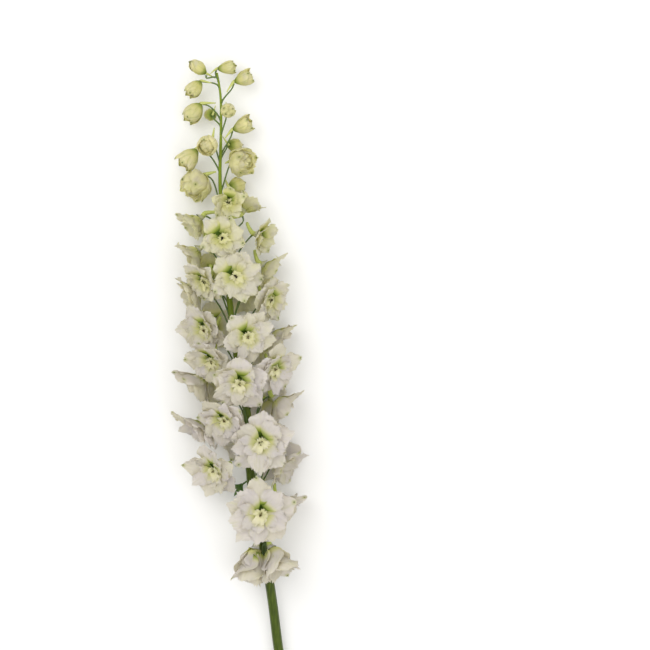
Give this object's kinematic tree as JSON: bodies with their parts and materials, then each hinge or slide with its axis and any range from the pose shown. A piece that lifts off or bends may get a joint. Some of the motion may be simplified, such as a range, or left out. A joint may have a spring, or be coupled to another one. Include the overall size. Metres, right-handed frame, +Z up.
{
  "type": "delphinium flower spike",
  "caption": "Cut spike of white double delphinium lying on its side: a tall green stem with open florets on thin stalks below and spurred, green-tipped buds above.",
  "frame": {"origin": "on the surface that the spike lies on, under the middle of its outline", "axes": "+Y along the spike towards its tip, +Z up from the surface, +X to the right seen from above with the tip away"},
  "size_m": [0.1374, 0.6948, 0.0799],
  "materials": {
    "petal": "soft matte petal, slightly translucent",
    "bud": "waxy cream with green tips",
    "leaf": "matte leaf",
    "stem": "smooth green stem"
  },
  "bodies": {
    "root": {"bud_01": "bud", "bud_02": "bud", "bud_03": "bud", "bud_04": "bud", "bud_05": "bud", "bud_06": "bud", "bud_07": "bud", "bud_08": "bud", "bud_09": "bud", "bud_10": "bud", "bud_11": "bud", "bud_12": "bud", "bud_13": "bud", "bud_14": "bud", "floret_01": "petal", "floret_02": "petal", "floret_03": "petal", "floret_04": "petal", "floret_05": "petal", "floret_06": "petal", "floret_07": "petal", "floret_08": "petal", "floret_09": "petal", "floret_10": "petal", "floret_11": "petal", "floret_12": "petal", "floret_13": "petal", "floret_14": "petal", "floret_15": "petal", "floret_16": "petal", "floret_17": "petal", "floret_18": "petal", "floret_19": "petal", "floret_20": "petal", "floret_21": "petal", "floret_22": "petal", "floret_23": "petal", "floret_24": "petal", "floret_25": "petal", "floret_26": "petal", "floret_27": "petal", "floret_28": "petal", "floret_29": "petal", "floret_30": "petal", "floret_31": "petal", "floret_32": "petal", "floret_33": "petal", "floret_34": "petal", "floret_35": "petal", "floret_36": "petal", "floret_37": "petal", "leaf_1": "leaf", "leaf_2": "leaf", "stem": "stem"}
  },
  "joints": []
}
